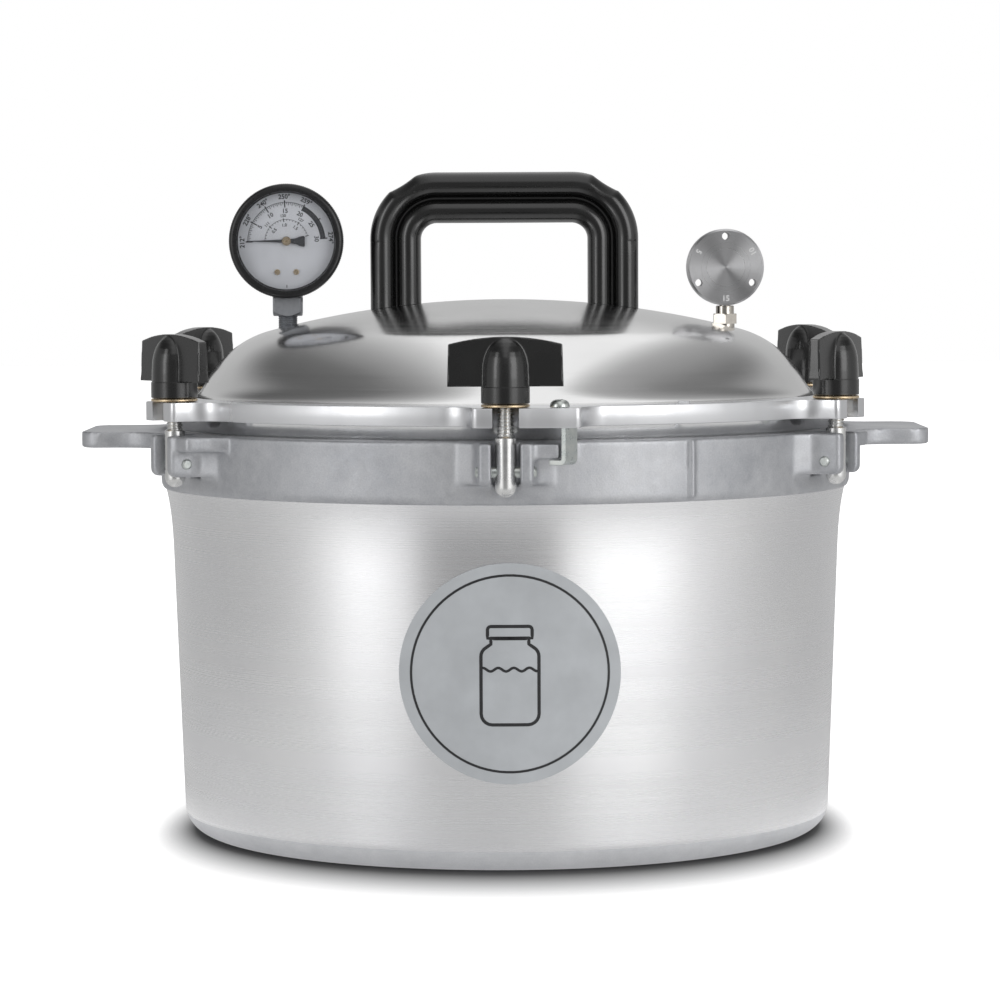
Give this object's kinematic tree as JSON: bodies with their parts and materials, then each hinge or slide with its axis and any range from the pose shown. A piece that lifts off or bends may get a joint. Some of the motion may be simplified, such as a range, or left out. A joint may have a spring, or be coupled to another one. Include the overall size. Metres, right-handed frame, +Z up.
{
  "type": "pressure canner",
  "caption": "Cast aluminium pressure canner: flared bowl with swing-bolt lugs and side handles, domed clamped lid with bow handle, dial gauge, vent pipe and regulator weight.",
  "frame": {"origin": "centre of the bottom, on the surface that the canner stands on", "axes": "+Z up, -Y towards the front with the label and the gauge's dial, +X towards the regulator weight and along the two side handles"},
  "size_m": [0.4062, 0.3768, 0.3186],
  "materials": {
    "cast_aluminium": "as cast round the mouth, turned and polished below",
    "polished_aluminium": "turned and polished, fine circular lines",
    "rack_aluminium": "pressed sheet, satin",
    "label_grey": "satin grey vinyl sticker",
    "black_phenolic": "glossy moulded black",
    "steel": "bright plated steel",
    "zinc_steel": "zinc plated",
    "gauge_black": "satin black",
    "lens": "clear",
    "dial_face": "printed satin white",
    "pointer_black": "matt black",
    "brass": "bright",
    "nickel_steel": "nickel plated",
    "turned_steel": "face turned, fine circular lines",
    "black_rubber": "moulded"
  },
  "bodies": {
    "canner": {"bowl": "cast_aluminium", "lid": "polished_aluminium", "front_label": "label_grey", "top_handle": "black_phenolic", "handle_screw_1": "steel", "handle_screw_2": "steel", "lock_clip": "zinc_steel", "lock_screw": "zinc_steel", "gauge_case": "gauge_black", "gauge_bezel": "gauge_black", "gauge_lens": "lens", "gauge_dial": "dial_face", "dial_screw_1": "brass", "dial_screw_2": "brass", "gauge_frame": "brass", "bourdon_tube": "brass", "gauge_stem": "nickel_steel", "vent_pipe": "nickel_steel", "overpressure_plug": "black_rubber", "pivot_pin_1": "zinc_steel", "pivot_pin_2": "zinc_steel", "pivot_pin_3": "zinc_steel", "pivot_pin_4": "zinc_steel", "pivot_pin_5": "zinc_steel", "pivot_pin_6": "zinc_steel"},
    "clamp_bolt_1": {"swing_bolt_1": "steel"},
    "clamp_washer_1": {"washer_1": "brass"},
    "clamp_nut_1": {"wing_nut_1": "black_phenolic"},
    "clamp_bolt_2": {"swing_bolt_2": "steel"},
    "clamp_washer_2": {"washer_2": "brass"},
    "clamp_nut_2": {"wing_nut_2": "black_phenolic"},
    "clamp_bolt_3": {"swing_bolt_3": "steel"},
    "clamp_washer_3": {"washer_3": "brass"},
    "clamp_nut_3": {"wing_nut_3": "black_phenolic"},
    "clamp_bolt_4": {"swing_bolt_4": "steel"},
    "clamp_washer_4": {"washer_4": "brass"},
    "clamp_nut_4": {"wing_nut_4": "black_phenolic"},
    "clamp_bolt_5": {"swing_bolt_5": "steel"},
    "clamp_washer_5": {"washer_5": "brass"},
    "clamp_nut_5": {"wing_nut_5": "black_phenolic"},
    "clamp_bolt_6": {"swing_bolt_6": "steel"},
    "clamp_washer_6": {"washer_6": "brass"},
    "clamp_nut_6": {"wing_nut_6": "black_phenolic"},
    "pointer": {"gauge_pointer": "pointer_black", "gauge_pinion": "brass"},
    "sector": {"gauge_sector": "brass"},
    "weight": {"regulator_weight": "turned_steel"},
    "rack": {"canning_rack": "rack_aluminium"}
  },
  "joints": [
    {"name": "bolt_swing_1", "type": "hinge", "parent": "canner", "child": "clamp_bolt_1", "pos_m": [0, -0.1775, 0.1825], "axis": [1, 0, 0], "range_deg": [0, 165]},
    {"name": "washer_travel_1", "type": "slide", "parent": "clamp_bolt_1", "child": "clamp_washer_1", "axis": [0, 0, 1], "range_m": [0, 0.0111]},
    {"name": "nut_turn_1", "type": "hinge", "parent": "clamp_washer_1", "child": "clamp_nut_1", "pos_m": [0, -0.1775, 0.2125], "axis": [0, 0, 1], "range_deg": [0, 2520]},
    {"name": "bolt_swing_2", "type": "hinge", "parent": "canner", "child": "clamp_bolt_2", "pos_m": [0.15372, -0.08875, 0.1825], "axis": [0.5, 0.866, 0], "range_deg": [0, 165]},
    {"name": "washer_travel_2", "type": "slide", "parent": "clamp_bolt_2", "child": "clamp_washer_2", "axis": [0, 0, 1], "range_m": [0, 0.0111]},
    {"name": "nut_turn_2", "type": "hinge", "parent": "clamp_washer_2", "child": "clamp_nut_2", "pos_m": [0.15372, -0.08875, 0.2125], "axis": [0, 0, 1], "range_deg": [0, 2520]},
    {"name": "bolt_swing_3", "type": "hinge", "parent": "canner", "child": "clamp_bolt_3", "pos_m": [0.15372, 0.08875, 0.1825], "axis": [-0.5, 0.866, 0], "range_deg": [0, 165]},
    {"name": "washer_travel_3", "type": "slide", "parent": "clamp_bolt_3", "child": "clamp_washer_3", "axis": [0, 0, 1], "range_m": [0, 0.0111]},
    {"name": "nut_turn_3", "type": "hinge", "parent": "clamp_washer_3", "child": "clamp_nut_3", "pos_m": [0.15372, 0.08875, 0.2125], "axis": [0, 0, 1], "range_deg": [0, 2520]},
    {"name": "bolt_swing_4", "type": "hinge", "parent": "canner", "child": "clamp_bolt_4", "pos_m": [0, 0.1775, 0.1825], "axis": [-1, 0, 0], "range_deg": [0, 165]},
    {"name": "washer_travel_4", "type": "slide", "parent": "clamp_bolt_4", "child": "clamp_washer_4", "axis": [0, 0, 1], "range_m": [0, 0.0111]},
    {"name": "nut_turn_4", "type": "hinge", "parent": "clamp_washer_4", "child": "clamp_nut_4", "pos_m": [0, 0.1775, 0.2125], "axis": [0, 0, 1], "range_deg": [0, 2520]},
    {"name": "bolt_swing_5", "type": "hinge", "parent": "canner", "child": "clamp_bolt_5", "pos_m": [-0.15372, 0.08875, 0.1825], "axis": [-0.5, -0.866, 0], "range_deg": [0, 165]},
    {"name": "washer_travel_5", "type": "slide", "parent": "clamp_bolt_5", "child": "clamp_washer_5", "axis": [0, 0, 1], "range_m": [0, 0.0111]},
    {"name": "nut_turn_5", "type": "hinge", "parent": "clamp_washer_5", "child": "clamp_nut_5", "pos_m": [-0.15372, 0.08875, 0.2125], "axis": [0, 0, 1], "range_deg": [0, 2520]},
    {"name": "bolt_swing_6", "type": "hinge", "parent": "canner", "child": "clamp_bolt_6", "pos_m": [-0.15372, -0.08875, 0.1825], "axis": [0.5, -0.866, 0], "range_deg": [0, 165]},
    {"name": "washer_travel_6", "type": "slide", "parent": "clamp_bolt_6", "child": "clamp_washer_6", "axis": [0, 0, 1], "range_m": [0, 0.0111]},
    {"name": "nut_turn_6", "type": "hinge", "parent": "clamp_washer_6", "child": "clamp_nut_6", "pos_m": [-0.15372, -0.08875, 0.2125], "axis": [0, 0, 1], "range_deg": [0, 2520]},
    {"name": "sector_turn", "type": "hinge", "parent": "canner", "child": "sector", "pos_m": [-0.1055, 0, 0.27375], "axis": [0, -1, 0], "range_deg": [0, 28.8], "stiffness_Nm_per_rad": 0.0005, "springref_deg": -11.46},
    {"name": "pointer_turn", "type": "hinge", "parent": "canner", "child": "pointer", "pos_m": [-0.1055, 0, 0.2857], "axis": [0, 1, 0], "range_deg": [0, 180]},
    {"name": "weight_lift", "type": "slide", "parent": "canner", "child": "weight", "axis": [0, 0, 1], "range_m": [0, 0.045]},
    {"name": "rack_lift", "type": "slide", "parent": "canner", "child": "rack", "axis": [0, 0, 1], "range_m": [0, 0.16]}
  ],
  "couplings": [
    {"joint": "nut_turn_1", "follows": "washer_travel_1", "rad_per_m": 3957.9},
    {"joint": "nut_turn_2", "follows": "washer_travel_2", "rad_per_m": 3957.9},
    {"joint": "nut_turn_3", "follows": "washer_travel_3", "rad_per_m": 3957.9},
    {"joint": "nut_turn_4", "follows": "washer_travel_4", "rad_per_m": 3957.9},
    {"joint": "nut_turn_5", "follows": "washer_travel_5", "rad_per_m": 3957.9},
    {"joint": "nut_turn_6", "follows": "washer_travel_6", "rad_per_m": 3957.9},
    {"joint": "pointer_turn", "follows": "sector_turn", "ratio": 6.25}
  ]
}
